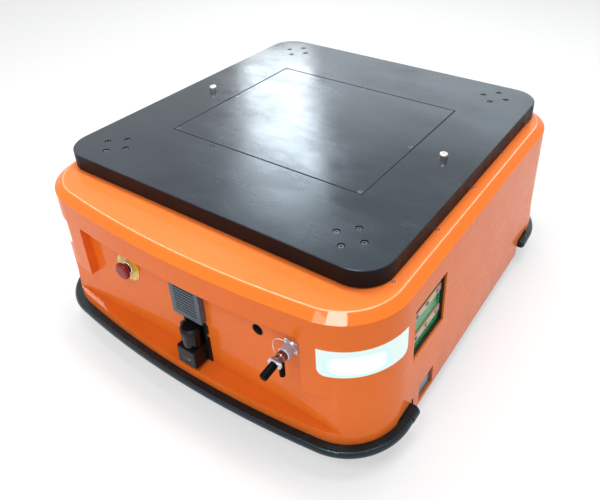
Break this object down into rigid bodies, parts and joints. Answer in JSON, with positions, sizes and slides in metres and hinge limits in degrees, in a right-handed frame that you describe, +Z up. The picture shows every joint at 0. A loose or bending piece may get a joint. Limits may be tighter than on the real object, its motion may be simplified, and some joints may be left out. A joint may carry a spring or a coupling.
{
  "type": "autonomous mobile robot",
  "caption": "Low wheeled transport robot: flat load plate with locating pins on a rounded painted housing, bumpers, corner lamps, scanner and side charging contacts.",
  "frame": {"origin": "on the floor under the middle of the bumpers' outline", "axes": "front faces -Y (scanner and emergency stop), +X on the right as seen from the front, +Z up"},
  "size_m": [0.894, 1.0189, 0.43],
  "materials": {
    "frame_black": "satin",
    "plate_black": "satin",
    "screw_black": "satin",
    "pin_steel": "brushed",
    "cover_orange": "gloss",
    "screw_steel": "satin",
    "bumper_rubber": "gloss",
    "lamp_white": "lit diffuser",
    "stop_yellow": "gloss",
    "chrome_trim": "polished",
    "stop_red": "gloss",
    "inner_plastic": "matte",
    "speaker_grey": "satin",
    "bracket_black": "satin",
    "scanner_black": "satin",
    "scanner_glass": "gloss",
    "port_black": "matte",
    "plug_steel": "satin",
    "plug_chrome": "polished",
    "boot_rubber": "satin",
    "wire_steel": "satin",
    "tray_black": "satin",
    "board_green": "solder mask",
    "contact_copper": "satin",
    "contact_screws": "satin",
    "sensor_grey": "satin",
    "motor_grey": "satin",
    "hub_metal": "machined",
    "tyre_rubber": "matte",
    "caster_zinc": "zinc plated",
    "caster_tread": "satin",
    "battery_case": "satin",
    "controller_case": "satin"
  },
  "bodies": {
    "chassis": {"base_frame": "frame_black", "top_plate": "plate_black", "access_panel": "plate_black", "access_panel_screws": "screw_black", "plate_mount_screws": "screw_black", "locating_pins": "pin_steel", "body_cover": "cover_orange", "cover_screws": "screw_steel", "front_bumper": "bumper_rubber", "rear_bumper": "bumper_rubber", "bumper_end_caps": "bumper_rubber", "corner_lamp_left": "lamp_white", "corner_lamp_right": "lamp_white", "stop_plate": "stop_yellow", "stop_collar": "chrome_trim", "stop_plate_screws": "screw_steel", "stop_contact_block": "inner_plastic", "speaker_cover": "speaker_grey", "speaker": "inner_plastic", "scanner_bracket": "bracket_black", "scanner_base": "scanner_black", "scanner_window": "scanner_glass", "scanner_head": "scanner_black", "front_port": "port_black", "plug_flange": "plug_steel", "plug_ring": "plug_chrome", "plug_shell": "plug_chrome", "plug_clamp": "plug_chrome", "plug_boots": "boot_rubber", "plug_lanyard": "wire_steel", "plug_screws": "screw_steel", "charge_tray": "tray_black", "charge_board": "board_green", "charge_strips": "contact_copper", "charge_screws": "contact_screws", "side_sensor": "sensor_grey", "drive_motor_left": "motor_grey", "drive_motor_right": "motor_grey", "caster_plates": "caster_zinc", "battery_pack": "battery_case", "controller_box": "controller_case"},
    "stop_mushroom": {"stop_button": "stop_red"},
    "drive_left": {"drive_hub_left": "hub_metal", "drive_tyre_left": "tyre_rubber"},
    "drive_right": {"drive_hub_right": "hub_metal", "drive_tyre_right": "tyre_rubber"},
    "swivel_front_left": {"caster_fork_front_left": "caster_zinc"},
    "roller_front_left": {"caster_wheel_front_left": "caster_tread"},
    "swivel_front_right": {"caster_fork_front_right": "caster_zinc"},
    "roller_front_right": {"caster_wheel_front_right": "caster_tread"},
    "swivel_rear_left": {"caster_fork_rear_left": "caster_zinc"},
    "roller_rear_left": {"caster_wheel_rear_left": "caster_tread"},
    "swivel_rear_right": {"caster_fork_rear_right": "caster_zinc"},
    "roller_rear_right": {"caster_wheel_rear_right": "caster_tread"}
  },
  "joints": [
    {"name": "stop_press", "type": "slide", "parent": "chassis", "child": "stop_mushroom", "axis": [0, 1, 0], "range_m": [0, 0.004]},
    {"name": "drive_left_spin", "type": "hinge", "parent": "chassis", "child": "drive_left", "pos_m": [-0.343, 0, 0.1], "axis": [1, 0, 0], "continuous": true},
    {"name": "drive_right_spin", "type": "hinge", "parent": "chassis", "child": "drive_right", "pos_m": [0.343, 0, 0.1], "axis": [1, 0, 0], "continuous": true},
    {"name": "swivel_front_left_turn", "type": "hinge", "parent": "chassis", "child": "swivel_front_left", "pos_m": [-0.288, -0.318, 0.128], "axis": [0, 0, 1], "continuous": true},
    {"name": "roller_front_left_spin", "type": "hinge", "parent": "swivel_front_left", "child": "roller_front_left", "pos_m": [-0.288, -0.283, 0.055], "axis": [1, 0, 0], "continuous": true},
    {"name": "swivel_front_right_turn", "type": "hinge", "parent": "chassis", "child": "swivel_front_right", "pos_m": [0.288, -0.318, 0.128], "axis": [0, 0, 1], "continuous": true},
    {"name": "roller_front_right_spin", "type": "hinge", "parent": "swivel_front_right", "child": "roller_front_right", "pos_m": [0.288, -0.283, 0.055], "axis": [1, 0, 0], "continuous": true},
    {"name": "swivel_rear_left_turn", "type": "hinge", "parent": "chassis", "child": "swivel_rear_left", "pos_m": [-0.288, 0.318, 0.128], "axis": [0, 0, 1], "continuous": true},
    {"name": "roller_rear_left_spin", "type": "hinge", "parent": "swivel_rear_left", "child": "roller_rear_left", "pos_m": [-0.288, 0.353, 0.055], "axis": [1, 0, 0], "continuous": true},
    {"name": "swivel_rear_right_turn", "type": "hinge", "parent": "chassis", "child": "swivel_rear_right", "pos_m": [0.288, 0.318, 0.128], "axis": [0, 0, 1], "continuous": true},
    {"name": "roller_rear_right_spin", "type": "hinge", "parent": "swivel_rear_right", "child": "roller_rear_right", "pos_m": [0.288, 0.353, 0.055], "axis": [1, 0, 0], "continuous": true}
  ]
}
